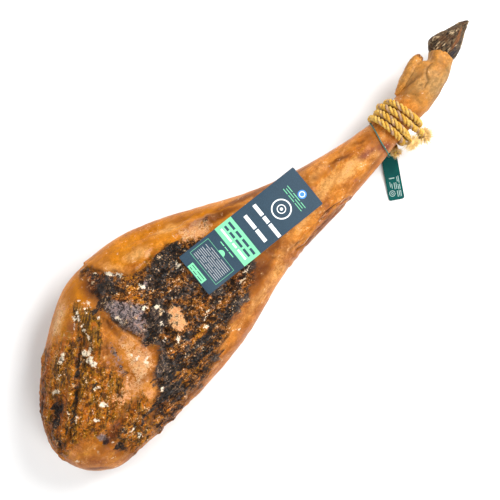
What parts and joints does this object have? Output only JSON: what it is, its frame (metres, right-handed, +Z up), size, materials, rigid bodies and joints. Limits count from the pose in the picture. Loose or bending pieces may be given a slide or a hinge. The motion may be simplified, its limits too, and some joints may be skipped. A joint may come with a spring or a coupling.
{
  "type": "cured ham",
  "caption": "Whole cured ham on the bone with trotter and hoof, rope wound round the ankle, a string with a green tag, and a plain printed card on the cut face.",
  "frame": {"origin": "centre of the ham's own box, without the string and the tag, on the surface that it lies on", "axes": "+X from the butt to the hoof, +Y towards the side of the leg that bulges most, +Z up out of the cut face"},
  "size_m": [0.84, 0.2778, 0.1167],
  "materials": {
    "ham_skin": "oily cured rind, fat and dried meat, from amber to near black, with a horn hoof",
    "hemp_rope": "three-strand laid rope, ochre with a mauve tracer strand and frayed ends",
    "green_string": "thin waxed string",
    "green_plastic": "thin satin plastic with pale printed bars",
    "printed_card": "slate-blue coated card with a mint band, rings and fine bars"
  },
  "bodies": {
    "root": {"leg": "ham_skin", "rope": "hemp_rope", "tag_string": "green_string", "tag": "green_plastic", "label_card": "printed_card"}
  },
  "joints": []
}
